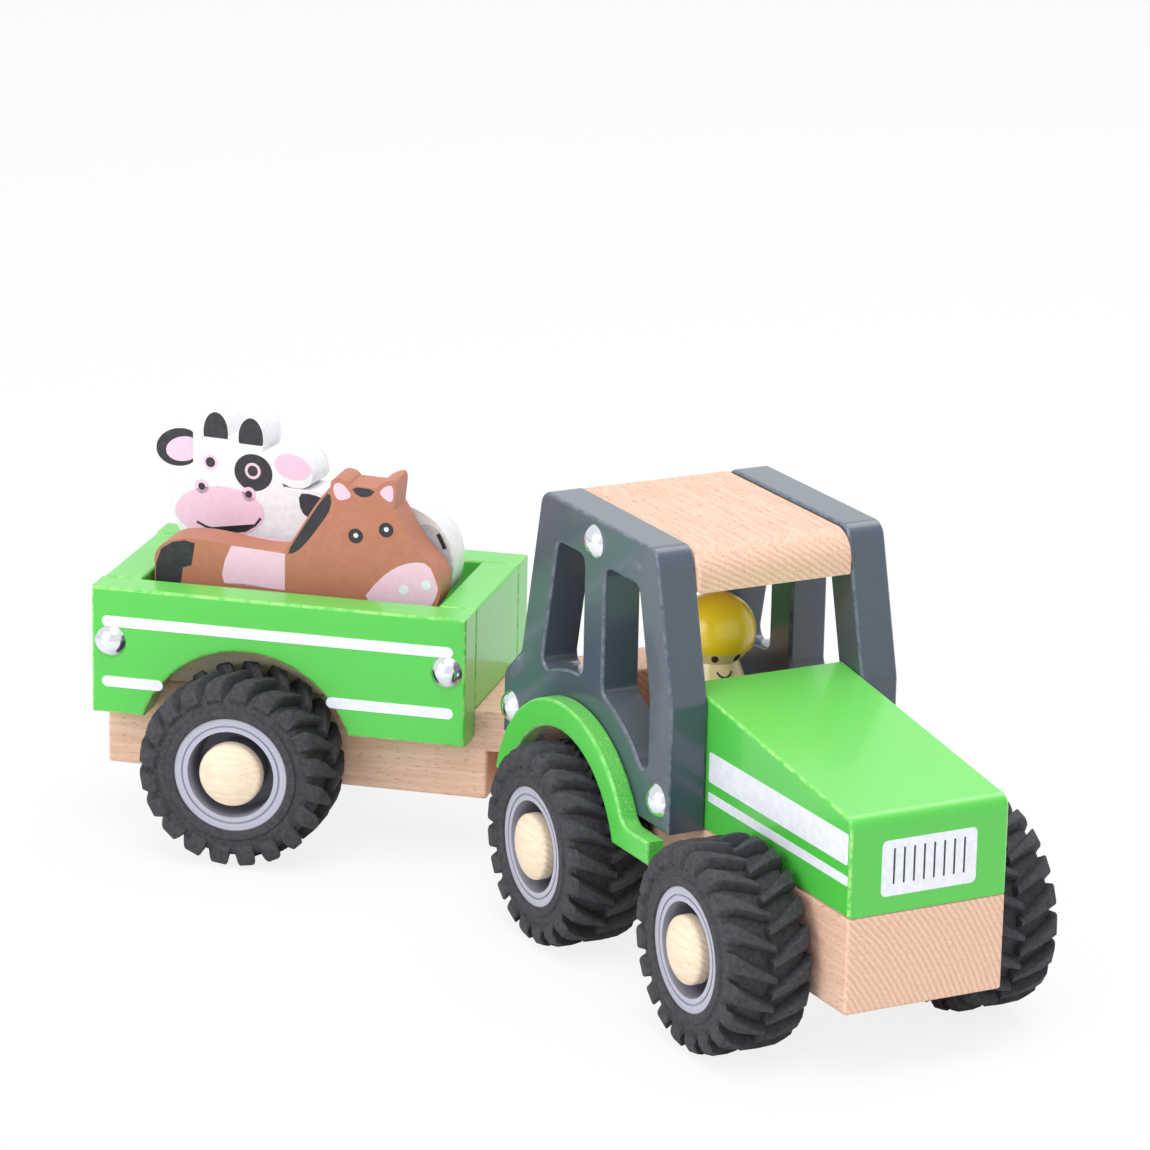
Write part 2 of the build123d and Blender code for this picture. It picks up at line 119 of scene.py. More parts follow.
def mixed(tree, factor, a, b):
    """One colour mix."""
    node = add_node(tree, "ShaderNodeMix", [(0, factor), (6, a), (7, b)], data_type="RGBA")
    return node.outputs[2]


def faded(tree, value, low, high, to_low=0.0, to_high=1.0):
    """A value eased from one range to another."""
    pairs = [(0, value), (1, low), (2, high), (3, to_low), (4, to_high)]
    node = add_node(tree, "ShaderNodeMapRange", pairs, interpolation_type="SMOOTHSTEP")
    return node.outputs[0]


def noise(tree, vector, scale, detail):
    """A noise texture's value."""
    pairs = [("Vector", vector), ("Scale", scale), ("Detail", detail)]
    return add_node(tree, "ShaderNodeTexNoise", pairs).outputs["Fac"]


def new_group(name, ins, outs):
    """A shader node group with named inputs and outputs, and its two end nodes."""
    tree = bpy.data.node_groups.new(name, "ShaderNodeTree")
    for label, kind, value in ins:
        socket = tree.interface.new_socket(label, in_out="INPUT", socket_type=kind)
        if value is not None:
            socket.default_value = value
    for label, kind in outs:
        tree.interface.new_socket(label, in_out="OUTPUT", socket_type=kind)
    return tree, tree.nodes.new("NodeGroupInput"), tree.nodes.new("NodeGroupOutput")


def paint(red, green, blue):
    """A linear colour from 0 to 255 screen values."""
    line = [((v / 255 + 0.055) / 1.055) ** 2.4 if v > 10 else v / 3294.6 for v in (red, green, blue)]
    return (*line, 1.0)


COLOUR, FLOAT, VECTOR = "NodeSocketColor", "NodeSocketFloat", "NodeSocketVector"

# %% [markdown]
# ## Wood
#
# Beech is pale and pinkish, with soft bands along the grain and many short brown flecks.
# On a sawn end the flecks are seen end on and the bands become growth rings. Noise that
# is stretched along the grain gives both, and the face's own direction says which of the
# two is showing.

# %% Wood grain group
def grain_group():
    """Two wood tones with flecks, changing to rings on end grain, and their height."""
    colours = [(label, COLOUR, (1, 1, 1, 1)) for label in ("Light", "Dark", "Fleck")]
    ins = [("Vector", VECTOR, None), ("Face", VECTOR, None), *colours, ("Fleck amount", FLOAT, 0.6)]
    tree, given, out = new_group("Beech grain", ins, [("Color", COLOUR), ("Height", FLOAT)])
    spot = given.outputs["Vector"]

    stretched = add_node(tree, "ShaderNodeMapping", [("Vector", spot), ("Scale", (45, 900, 900))])
    bands = noise(tree, stretched.outputs[0], 1.0, 3.0)
    short = add_node(tree, "ShaderNodeMapping", [("Vector", spot), ("Scale", (330, 2600, 2600))])
    fleck = faded(tree, noise(tree, short.outputs[0], 1.0, 1.0), 0.61, 0.7)

    heart = [("Vector", spot), ("Location", (0, 0.09, 0.02)), ("Scale", (8, 1, 1))]
    ring_spot = add_node(tree, "ShaderNodeMapping", heart)
    rings = add_node(
        tree,
        "ShaderNodeTexWave",
        [("Vector", ring_spot.outputs[0]), ("Scale", 190.0), ("Distortion", 1.6), ("Detail", 3.0)],
        wave_type="RINGS",
        rings_direction="X",
    )
    facing = add_node(tree, "ShaderNodeSeparateXYZ", [(0, given.outputs["Face"])])
    end_face = faded(tree, sums(tree, "ABSOLUTE", facing.outputs[0]), 0.6, 0.85)
    ring_share = sums(tree, "MULTIPLY", rings.outputs["Fac"], 0.4)
    end_tone = sums(tree, "ADD", ring_share, sums(tree, "MULTIPLY", bands, 0.6))
    tone = add_node(tree, "ShaderNodeMix", [(0, end_face), (2, bands), (3, end_tone)])

    shade = faded(tree, tone.outputs[0], 0.15, 0.9)
    base = mixed(tree, shade, given.outputs["Dark"], given.outputs["Light"])
    amount = sums(tree, "MULTIPLY", fleck, given.outputs["Fleck amount"])
    tree.links.new(mixed(tree, amount, base, given.outputs["Fleck"]), out.inputs["Color"])
    tree.links.new(sums(tree, "SUBTRACT", bands, fleck), out.inputs["Height"])
    return tree


grain = grain_group()
print("grain group nodes:", len(grain.nodes))

# %% [markdown]
# ## Paint on board
#
# The green and slate paints are rolled on, so they have a faint orange peel, and they
# thin out on the rounded edges, where the board shows through as a paler line. An edge's
# face leans part of the way out of the board, which is what the mask measures. A board's
# cut faces also show fine fibres through the paint.

# %% Painted board group
def board_paint_group():
    """Paint with a paler top that is painted light, worn edges and fibres on the cut faces, and its
    height.
    """
    colours = [(label, COLOUR, (1, 1, 1, 1)) for label in ("Paint", "Top", "Edge")]
    amounts = [("Edge amount", FLOAT, 0.6), ("Speckle", FLOAT, 0.1)]
    ins = [("Vector", VECTOR, None), ("Face", VECTOR, None), *colours, *amounts]
    tree, given, out = new_group("Painted board", ins, [("Color", COLOUR), ("Height", FLOAT)])
    spot = given.outputs["Vector"]
    facing = add_node(tree, "ShaderNodeSeparateXYZ", [(0, given.outputs["Face"])])
    across = sums(tree, "ABSOLUTE", facing.outputs[1])

    leaning = sums(tree, "MULTIPLY", faded(tree, across, 0.12, 0.35), faded(tree, across, 0.995, 0.9))
    cloud = noise(tree, spot, 420.0, 4.0)
    patchy = sums(tree, "MULTIPLY", leaning, faded(tree, cloud, 0.35, 0.62))
    edge = sums(tree, "MULTIPLY", patchy, given.outputs["Edge amount"])

    grit = faded(tree, noise(tree, spot, 1900.0, 2.0), 0.52, 0.68)
    cut_face = sums(tree, "MULTIPLY", grit, faded(tree, across, 0.7, 0.2))
    fibres = sums(tree, "MULTIPLY", cut_face, given.outputs["Speckle"])

    # Painted light: faces that point up turn to the paler top colour, as if lit from above.
    lit_top_share = faded(tree, facing.outputs[2], 0.5, 0.95)
    coat = mixed(tree, lit_top_share, given.outputs["Paint"], given.outputs["Top"])
    worn = mixed(tree, edge, coat, given.outputs["Edge"])
    tree.links.new(mixed(tree, fibres, worn, given.outputs["Edge"]), out.inputs["Color"])
    peel = sums(tree, "ADD", sums(tree, "MULTIPLY", cloud, 0.5), fibres)
    tree.links.new(peel, out.inputs["Height"])
    return tree


board_paint = board_paint_group()
print("paint group nodes:", len(board_paint.nodes))

# %% [markdown]
# ## From a group to a material
#
# Every finish starts the same way: a Principled shader with its constant settings, and
# the pattern's own place. The place is the tractor's or the trailer's, so grain runs
# along each body although the trailer stands at an angle.


# %% Start of a material
def start_material(name, place, roughness, **sockets):
    """A new material: itself, its node tree, its shader and its pattern's place."""
    material = bpy.data.materials.new(name)
    material.use_nodes = True
    tree = material.node_tree
    shader = tree.nodes["Principled BSDF"]
    shader.inputs["Roughness"].default_value = roughness
    for label, value in sockets.items():
        shader.inputs[label.replace("_", " ")].default_value = value
    spot = add_node(tree, "ShaderNodeTexCoord").outputs["Object"]
    back = place.inverted()
    pairs = [("Vector", spot), ("Location", back.to_translation()), ("Rotation", back.to_euler())]
    return material, tree, shader, add_node(tree, "ShaderNodeMapping", pairs).outputs[0]


def face_direction(tree, place):
    """The way a surface faces, turned into its body's own heading."""
    facing = add_node(tree, "ShaderNodeTexCoord").outputs["Normal"]
    pairs = [("Vector", facing), ("Rotation", place.inverted().to_euler())]
    return add_node(tree, "ShaderNodeMapping", pairs, vector_type="NORMAL").outputs[0]


def add_group(tree, group_tree, links):
    """A shader group in a material; links are (input, value or socket) pairs."""
    return add_node(tree, "ShaderNodeGroup", links, node_tree=group_tree)


def finish_surface(tree, shader, colour, height, depth, strength=0.5):
    """Wires a colour and a height in millimetres into the shader."""
    tree.links.new(colour, shader.inputs["Base Color"])
    bump = add_node(
        tree, "ShaderNodeBump", [("Height", height), ("Distance", depth * MM), ("Strength", strength)]
    )
    tree.links.new(bump.outputs[0], shader.inputs["Normal"])


def wood(name, place, light, dark, flecks=0.6):
    """Bare wood with its grain along the body."""
    material, tree, shader, here = start_material(name, place, 0.55)
    links = [("Vector", here), ("Face", face_direction(tree, place)), ("Light", light), ("Dark", dark)]
    links += [("Fleck", paint(176, 112, 78)), ("Fleck amount", flecks)]
    group = add_group(tree, grain, links)
    finish_surface(tree, shader, group.outputs["Color"], group.outputs["Height"], 0.05)
    return material


def painted(name, place, coats, wear, speckle, roughness=0.3):
    """Paint over board; coats are its side colour, a paler top colour that is painted light, and its
    worn edge colour.
    """
    material, tree, shader, here = start_material(name, place, roughness, Coat_Weight=0.25)
    links = [("Vector", here), ("Face", face_direction(tree, place))]
    links += zip(("Paint", "Top", "Edge"), coats)
    links += [("Edge amount", wear), ("Speckle", speckle)]
    group = add_group(tree, board_paint, links)
    finish_surface(tree, shader, group.outputs["Color"], group.outputs["Height"], 0.1)
    return material


# %% Woods and board paints
places = {"tractor": tractor_at, "trailer": trailer_at}
beech, pale_wood, green = {}, {}, {}
# The second colour of each paint is lighter, painted light for the boards' top faces.
leaf, leaf_lit_top = paint(80, 196, 72), paint(106, 210, 90)
lime, mint = paint(180, 228, 134), paint(158, 222, 128)
slate_coats = paint(70, 82, 97), paint(90, 102, 116), paint(122, 132, 144)
for body, place in places.items():
    beech[body] = wood(f"beech_{body}", place, paint(238, 204, 182), paint(220, 174, 148))
    pale_wood[body] = wood(f"pale_wood_{body}", place, paint(243, 228, 206), paint(226, 202, 174), 0.15)
    green[body] = painted(f"green_{body}", place, (leaf, leaf_lit_top, lime), 0.65, 0.1)
mudguard_green = painted("green_mudguard", tractor_at, (leaf, leaf_lit_top, mint), 0.5, 0.75, 0.4)
slate = painted("slate_panels", tractor_at, slate_coats, 0.45, 0.1, 0.22)
print("board finishes:", len(bpy.data.materials))

# %% [markdown]
# ## Plain paints, metal, plastic and rubber
#
# The animals and the prints are flat, matt paint with a faint brush grain. The screws are
# bright metal. The rims are grey plastic with turned grooves, which rings of bump make
# around each axle. Rubber is nearly black and dull, and wavers a little in tone.


# %% Simple finishes
def plain_paint(name, place, colour, second, roughness=0.45, scale=500.0, depth=0.03):
    """Flat paint that wavers between two close colours."""
    material, tree, shader, here = start_material(name, place, roughness)
    waver = noise(tree, here, scale, 5.0)
    tone = faded(tree, waver, 0.35, 0.65)
    finish_surface(tree, shader, mixed(tree, tone, colour, second), waver, depth)
    return material


def metal():
    """Bright plated steel, faintly uneven."""
    material, tree, shader, here = start_material("chrome_screws", tractor_at, 0.16, Metallic=1.0)
    waver = noise(tree, here, 260.0, 2.0)
    colour = mixed(tree, waver, paint(205, 212, 222), paint(238, 240, 244))
    finish_surface(tree, shader, colour, waver, 0.1, 0.3)
    return material


DISH_RADIUS = 13.2
RING_RADIUS = 13.7
GROOVE_STEP = 0.9


def rim_plastic(name, middle, turn):
    """Grey plastic, darker in the dish, with turned grooves on the ring round it."""
    place = Matrix.Translation(middle) @ Matrix.Rotation(turn, 4, "Z")
    material, tree, shader, here = start_material(name, place, 0.38)
    split = add_node(tree, "ShaderNodeSeparateXYZ", [(0, here)])
    flat = add_node(tree, "ShaderNodeCombineXYZ", [(0, split.outputs[0]), (1, split.outputs[2])])
    length = add_node(tree, "ShaderNodeVectorMath", [(0, flat.outputs[0])], operation="LENGTH")
    reach = length.outputs["Value"]
    wave = sums(tree, "SINE", sums(tree, "MULTIPLY", reach, tau / (GROOVE_STEP * MM)))
    ring = faded(tree, reach, DISH_RADIUS * MM, RING_RADIUS * MM)
    colour = mixed(tree, ring, paint(118, 118, 132), paint(176, 176, 192))
    finish_surface(tree, shader, colour, sums(tree, "MULTIPLY", wave, ring), 0.05)
    return material


rubber = plain_paint("tyre_rubber", tractor_at, paint(44, 44, 50), paint(60, 59, 66), 0.72, 700.0, 0.12)
chrome = metal()

# %% [markdown]
# ## The driver's head
#
# The driver is one turned peg, so its helmet and face are paint with a clean line
# between them at the helmet's rim. A height mask in the material draws that line.

# %% Driver paint
driver_low, driver_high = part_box("driver")
driver_middle = Vector(((driver_low.x + driver_high.x) / 2, (driver_low.y + driver_high.y) / 2, 0))
driver_at = Matrix.Translation(driver_middle)
HELMET_RADIUS = 11.4
HELMET_RIM_Z = 88.9
SHIRT_TOP_Z = 77.5
LINE_BLUR = 0.1


def paint_line(tree, height, z):
    """A mask that is 1 above a height in millimetres."""
    return faded(tree, height, (z - LINE_BLUR) * MM, (z + LINE_BLUR) * MM)


def driver_finish():
    """Red body, pale face and yellow helmet on one peg."""
    material, tree, shader, here = start_material("driver_paint", driver_at, 0.32, Coat_Weight=0.4)
    height = add_node(tree, "ShaderNodeSeparateXYZ", [(0, here)]).outputs[2]
    brush = noise(tree, here, 500.0, 3.0)
    shirt = mixed(tree, brush, paint(188, 66, 52), paint(204, 80, 62))
    skin = mixed(tree, brush, paint(238, 214, 150), paint(248, 228, 172))
    helmet = mixed(tree, brush, paint(252, 214, 20), paint(255, 224, 50))
    below = mixed(tree, paint_line(tree, height, SHIRT_TOP_Z), shirt, skin)
    colour = mixed(tree, paint_line(tree, height, HELMET_RIM_Z), below, helmet)
    finish_surface(tree, shader, colour, brush, 0.06)
    return material


driver_paint = driver_finish()

# %% [markdown]
# ## Finishes for the CAD nodes
#
# A CAD node keeps its mesh and only gets a material, through its object's own material
# slots, so the shared mesh data stays as it was packed.


# %% Give the CAD nodes their finishes
def dress(name, material):
    """Puts a material on a CAD node."""
    piece = nodes[name]
    if not piece.material_slots:
        piece.data.materials.append(material)
    for holder in piece.material_slots:
        holder.link = "OBJECT"
        holder.material = material


for name in ("chassis", "roof", "rear_block"):
    dress(name, beech["tractor"])
dress("trailer_chassis", beech["trailer"])
for name in ("box_side_right", "box_side_left", "box_end_front", "box_end_rear"):
    dress(name, green["trailer"])
dress("box_floor_block", pale_wood["trailer"])
dress("hood", green["tractor"])
dress("hitch_peg", pale_wood["trailer"])
dress("driver", driver_paint)
for side in ("right", "left"):
    dress(f"mudguard_{side}", mudguard_green)
    dress(f"cab_panel_{side}", slate)
for name in ("panel_screws", "box_screws"):
    dress(name, chrome)
AXLES = {"front": "tractor", "rear": "tractor", "trailer": "trailer"}
TURNS = {"tractor": 0.0, "trailer": heading}
for place, body in AXLES.items():
    dress(f"axle_{place}", pale_wood[body])
    for side in ("right", "left"):
        dress(f"axle_cap_{place}_{side}", pale_wood[body])
        low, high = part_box(f"rim_{place}_{side}")
        plastic = rim_plastic(f"rim_plastic_{place}_{side}", (low + high) / 2, TURNS[body])
        dress(f"rim_{place}_{side}", plastic)

horse_brown = plain_paint("horse_brown", trailer_at, paint(182, 116, 90), paint(187, 121, 95), 0.5)
cow_white = plain_paint("cow_white", trailer_at, paint(232, 231, 237), paint(240, 240, 244), 0.5)
black_paint = plain_paint("black_paint", trailer_at, paint(38, 37, 44), paint(50, 48, 56), 0.6)
pink_paint = plain_paint("pink_paint", trailer_at, paint(237, 196, 219), paint(240, 201, 223), 0.5)
# The sheep's grey stands for shade on its front face: painted shade.
sheep_painted_shade = plain_paint("sheep_front_painted_shade", trailer_at, paint(196, 194, 206), paint(208, 206, 216), 0.5)
white_print = plain_paint("white_print", tractor_at, paint(226, 230, 240), paint(236, 239, 246), 0.35)
dress("horse", horse_brown)
dress("cow", cow_white)
dress("sheep", cow_white)

# %% [markdown]
# ## Tyres
#
# A tractor tyre is a smooth carcass with a row of slanting lugs on each side, the two
# rows half a step apart. One lug is made, wide at the shoulder and narrow at the
# middle, and Geometry Nodes place it round the axle, mirrored for the other side. The
# lugs' inner ends lead, so the tread points down when seen from the front.

# %% Mesh helpers
def bridge(form, a, b):
    """Faces between two closed rings of the same length."""
    for i in range(len(a)):
        j = (i + 1) % len(a)
        form.faces.new((a[i], a[j], b[j], b[i]))


def as_mesh(name, form):
    """Turns all faces outwards and moves a bmesh into a new mesh."""
    bmesh.ops.recalc_face_normals(form, faces=form.faces)
    mesh = bpy.data.meshes.new(name)
    form.to_mesh(mesh)
    form.free()
    return mesh


# %% One lug
LUG_COUNT = 20
SIDE_WALL_Y = 12.0
SIDE_WALL_SINK = 1.4
LUG_CORNER = 0.7
LUG_FLARE = 0.5


def lug_mesh():
    """One lug at the top of the wheel, the axle along Y and the way forward along X."""
    # y, top and foot radius, lead round the axle in degrees, half width
    stations = [
        (-0.6, 29.7, 25.4, 11.0, 1.15),
        (4.0, 30.0, 25.6, 6.5, 1.5),
        (8.6, 29.9, 25.6, 1.5, 2.2),
        (11.4, 29.0, 24.8, -1.5, 2.75),
        (12.7, 27.0, 23.6, -2.5, 2.7),
        (12.75, 24.2, 22.6, -2.8, 2.3),
    ]
    form = bmesh.new()
    rings = []
    for y, top, foot, lead, half in stations:
        sink = 0.0 if y < SIDE_WALL_Y else SIDE_WALL_SINK
        left = [(-half - LUG_FLARE, foot), (-half, top - LUG_CORNER), (-half + LUG_FLARE, top)]
        shape = left + [(-across, reach) for across, reach in reversed(left)]
        ring = []
        for across, reach in shape:
            turn = radians(lead) + across / reach
            depth = y - sink * (reach < top - 1)
            ring.append(form.verts.new((reach * sin(turn) * MM, depth * MM, reach * cos(turn) * MM)))
        rings.append(ring)
    for a, b in zip(rings, rings[1:]):
        bridge(form, a, b)
    form.faces.new(rings[0])
    form.faces.new(list(reversed(rings[-1])))
    return as_mesh("lug", form)


print("lug faces:", len(lug_mesh().polygons))


# %% Lugs round an axle, as Geometry Nodes
def geometry_tree(name, ins):
    """A Geometry Nodes tree with a geometry input and output and named inputs."""
    tree = bpy.data.node_groups.new(name, "GeometryNodeTree")
    tree.interface.new_socket("Geometry", in_out="INPUT", socket_type="NodeSocketGeometry")
    for label, kind, value in ins:
        socket = tree.interface.new_socket(label, in_out="INPUT", socket_type=kind)
        if value is not None:
            socket.default_value = value
    tree.interface.new_socket("Geometry", in_out="OUTPUT", socket_type="NodeSocketGeometry")
    return tree, tree.nodes.new("NodeGroupInput"), tree.nodes.new("NodeGroupOutput")


def end_tree(tree, copies, given, out):
    """Makes the copies real and gives them the tree's material."""
    real = add_node(tree, "GeometryNodeRealizeInstances", [("Geometry", copies)])
    links = [("Geometry", real.outputs[0]), ("Material", given.outputs["Material"])]
    tree.links.new(add_node(tree, "GeometryNodeSetMaterial", links).outputs[0], out.inputs[0])


lug_rows, r_in, r_out = geometry_tree(
    "Lugs round an axle",
    [
        ("Count", "NodeSocketInt", LUG_COUNT),
        ("Step", FLOAT, tau / LUG_COUNT),
        ("Material", "NodeSocketMaterial", None),
    ],
)
one_lug = r_in.outputs["Geometry"]
mirrored = add_node(lug_rows, "GeometryNodeTransform", [("Geometry", one_lug), ("Scale", (1, -1, 1))])
outward = add_node(lug_rows, "GeometryNodeFlipFaces", [("Mesh", mirrored.outputs[0])])
half_step = sums(lug_rows, "MULTIPLY", r_in.outputs["Step"], 0.5)
half_turn = add_node(lug_rows, "ShaderNodeCombineXYZ", [(1, half_step)])
shift = [("Geometry", outward.outputs[0]), ("Rotation", half_turn.outputs[0])]
shifted = add_node(lug_rows, "GeometryNodeTransform", shift)
pair = add_node(lug_rows, "GeometryNodeJoinGeometry")
lug_rows.links.new(one_lug, pair.inputs[0])
lug_rows.links.new(shifted.outputs[0], pair.inputs[0])
spots = add_node(lug_rows, "GeometryNodePoints", [("Count", r_in.outputs["Count"])])
order = add_node(lug_rows, "GeometryNodeInputIndex")
angle = sums(lug_rows, "MULTIPLY", order.outputs[0], r_in.outputs["Step"])
spin = add_node(lug_rows, "ShaderNodeCombineXYZ", [(1, angle)])
copies = add_node(
    lug_rows,
    "GeometryNodeInstanceOnPoints",
    [("Points", spots.outputs[0]), ("Instance", pair.outputs[0]), ("Rotation", spin.outputs[0])],
)
end_tree(lug_rows, copies.outputs[0], r_in, r_out)


def run_tree(name, mesh, tree, values):
    """Runs a tree on a mesh and returns the plain mesh that it makes."""
    maker = bpy.data.objects.new(name, mesh)
    bpy.context.scene.collection.objects.link(maker)
    modifier = maker.modifiers.new("maker", "NODES")
    modifier.node_group = tree
    for item in tree.interface.items_tree:
        if item.in_out == "INPUT" and item.name in values:
            modifier[item.identifier] = values[item.name]
    maker.update_tag()
    graph = bpy.context.evaluated_depsgraph_get()
    made = bpy.data.meshes.new_from_object(maker.evaluated_get(graph), depsgraph=graph)
    bpy.data.objects.remove(maker)
    return made


lug_sizes = {"Count": LUG_COUNT, "Step": tau / LUG_COUNT, "Material": rubber}
lugs = run_tree("lug_maker", lug_mesh(), lug_rows, lug_sizes)
print("faces in a tyre's lugs:", len(lugs.polygons))


# %% [markdown]
# ## The carcass under the lugs
#
# The smooth part of the tyre is half a profile, mirrored and turned round the axle in
# mesh code. The lugs' feet are sunk in it, so the two can stay separate closed shells in
# one piece.

# %% The carcass and the six tyres
CARCASS_STEPS = 72


def carcass_mesh():
    """The smooth ring under the lugs, turned round the axle."""
    half = [(18.0, -12.4), (19.2, -12.7), (20.4, -12.5), (20.9, -11.9), (24.0, -11.8)]
    half += [(25.6, -10.9), (26.4, -8.5)]
    seat = [(17.75, 12.0), (17.75, -12.0)]
    profile = [*half, (26.6, 0.0), *((r, -y) for r, y in reversed(half)), *seat]
    form = bmesh.new()
    rings = []
    for k in range(CARCASS_STEPS):
        turn = tau * k / CARCASS_STEPS
        spots = [(r * sin(turn) * MM, y * MM, r * cos(turn) * MM) for r, y in profile]
        rings.append([form.verts.new(spot) for spot in spots])
    for a, b in zip(rings, rings[1:] + rings[:1]):
        bridge(form, a, b)
    return as_mesh("carcass", form)


SHARP_ANGLE = radians(35)


def shown_piece(name, mesh, body, material):
    """Links a finished mesh as a piece that rides on a CAD body."""
    piece = bpy.data.objects.new(name, mesh)
    bpy.context.scene.collection.objects.link(piece)
    mesh.materials.clear()
    mesh.materials.append(material)
    for polygon in mesh.polygons:
        polygon.use_smooth = True
    mesh.set_sharp_from_angle(angle=SHARP_ANGLE)
    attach(piece, body)
    return piece


def make_tyre(place, side, turn):
    """A lugged tyre in the place of its plain CAD ring."""
    low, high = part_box(f"tyre_{place}_{side}")
    name = f"lugged_tyre_{place}_{side}"
    form = bmesh.new()
    form.from_mesh(lugs)
    form.from_mesh(carcass)
    form.transform(Matrix.Translation((low + high) / 2) @ Matrix.Rotation(turn, 4, "Z"))
    mesh = bpy.data.meshes.new(name)
    form.to_mesh(mesh)
    form.free()
    piece = shown_piece(name, mesh, f"wheel_{place}_{side}", rubber)
    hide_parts(f"tyre_{place}_{side}")
    return piece


carcass = carcass_mesh()
for place, body in AXLES.items():
    for side in ("right", "left"):
        tyre = make_tyre(place, side, TURNS[body])
print("faces in a tyre:", len(tyre.data.polygons))

# %% [markdown]
# ## Prints on the boards
#
# The stripes, the grille and the animals' markings are printed or painted. Each one is a
# very thin plate that lies on its board, so it keeps a crisp outline in any view. An
# outline is drawn in the board's own plane and then thickened by a tenth of a millimetre.


# %% Outlines
def oval(x, z, wide, high, turn=0.0, steps=28):
    """Points round an ellipse."""
    c, s = cos(radians(turn)), sin(radians(turn))
    ring = [(wide * cos(tau * k / steps), high * sin(tau * k / steps)) for k in range(steps)]
    return [(x + a * c - b * s, z + a * s + b * c) for a, b in ring]


def bar(x0, z0, x1, z1, corner):
    """Points round a rectangle with rounded corners."""
    right, left, top, foot = x1 - corner, x0 + corner, z1 - corner, z0 + corner
    ring = []
    for k, (x, z) in enumerate([(right, top), (left, top), (left, foot), (right, foot)]):
        for step in range(7):
            turn = pi / 2 * (k + step / 6)
            ring.append((x + corner * cos(turn), z + corner * sin(turn)))
    return ring


def part_way(a, b, share):
    """The point that lies a share of the way from one point to another."""
    return a[0] * (1 - share) + b[0] * share, a[1] * (1 - share) + b[1] * share


def softened(points, rounds=2):
    """Corner cutting: each round takes a quarter off both ends of every side."""
    for _ in range(rounds):
        cut = []
        for a, b in zip(points, points[1:] + points[:1]):
            cut += [part_way(a, b, 0.25), part_way(a, b, 0.75)]
        points = cut
    return points


def stroke(points, width):
    """A brush line of one width along some points."""
    left, right = [], []
    for k, (x, z) in enumerate(points):
        x0, z0 = points[max(k - 1, 0)]
        x1, z1 = points[min(k + 1, len(points) - 1)]
        along = Vector((x1 - x0, z1 - z0)).normalized()
        left.append((x - along.y * width / 2, z + along.x * width / 2))
        right.append((x + along.y * width / 2, z - along.x * width / 2))
    return left + right[::-1]


# %% Thin plates from outlines
PRINT_FOOT = -0.04
PRINT_LIFT = 0.08
FIRST_COAT, SECOND_COAT, THIRD_COAT = 0.06, 0.1, 0.14


def add_plate(form, outline, place, lift):
    """A plate in a plane whose x runs along the board, y out of it and z up."""
    rings = []
    for depth in (PRINT_FOOT, lift):
        rings.append([form.verts.new(place @ Vector((x * MM, depth * MM, z * MM))) for x, z in outline])
    foot, face = rings
    form.faces.new(face)
    form.faces.new(foot[::-1])
    bridge(form, foot, face)


def print_piece(name, plates, body, material):
    """One piece from several plates, given as (outline, place, lift)."""
    form = bmesh.new()
    for outline, place, lift in plates:
        add_plate(form, outline, place, lift)
    bmesh.ops.triangulate(form, faces=form.faces)
    return shown_piece(name, as_mesh(name, form), body, material)


def on_side(place, y, out):
    """The plane of a board's face at y, with its own y pointing outwards."""
    return place @ Matrix.Translation((0, y * MM, 0)) @ Matrix.Diagonal((1, out, 1, 1))


# %% [markdown]
# ## The hood's stripes and the grille's plate
#
# Each side of the hood has a wide stripe over a narrow one, both bare white. The grille
# is a white plate with rounded corners on the nose. A stripe is given by its two corners
# and how far its own corners are rounded.

# %% Hood stripes and grille
HALF_BODY = 25.0
HOOD_STRIPES = [(-78.0, 63.9, -1.2, 72.8, 0.8), (-78.0, 58.1, -0.9, 60.9, 0.4)]
GRILLE = (-15.0, 53.8, 15.0, 69.8, 1.6)
GRILLE_LIFT = 0.05


def side_stripes(stripes, place, half):
    """Plates for the same stripes on both sides of a body."""
    planes = [on_side(place, out * half, out) for out in (-1, 1)]
    return [(bar(*stripe), plane, PRINT_LIFT) for plane in planes for stripe in stripes]


hood_plates = side_stripes(HOOD_STRIPES, tractor_at, HALF_BODY)
print_piece("hood_stripes", hood_plates, "tractor", white_print)
nose_plane = tractor_at @ Matrix.Rotation(radians(-90), 4, "Z")
grille_plates = [(bar(*GRILLE), nose_plane, GRILLE_LIFT)]
print_piece("grille_plate", grille_plates, "tractor", white_print)

# %% [markdown]
# ## Grille bars
#
# Eight thin black lines stand in a row on the white plate. A row of equal pieces is again
# a job for Geometry Nodes: one bar, a count and a spacing.

# %% Row of grille bars
bar_row, b_in, b_out = geometry_tree(
    "Row of bars",
    [
        ("Count", "NodeSocketInt", 8),
        ("Spacing", FLOAT, 0.003),
        ("Material", "NodeSocketMaterial", None),
    ],
)
row_order = add_node(bar_row, "GeometryNodeInputIndex")
along_row = sums(bar_row, "MULTIPLY", row_order.outputs[0], b_in.outputs["Spacing"])
row_spot = add_node(bar_row, "ShaderNodeCombineXYZ", [(0, along_row)])
row_points = add_node(
    bar_row, "GeometryNodePoints", [("Count", b_in.outputs["Count"]), ("Position", row_spot.outputs[0])]
)
row_links = [("Points", row_points.outputs[0]), ("Instance", b_in.outputs[0])]
row_copies = add_node(bar_row, "GeometryNodeInstanceOnPoints", row_links)
end_tree(bar_row, row_copies.outputs[0], b_in, b_out)

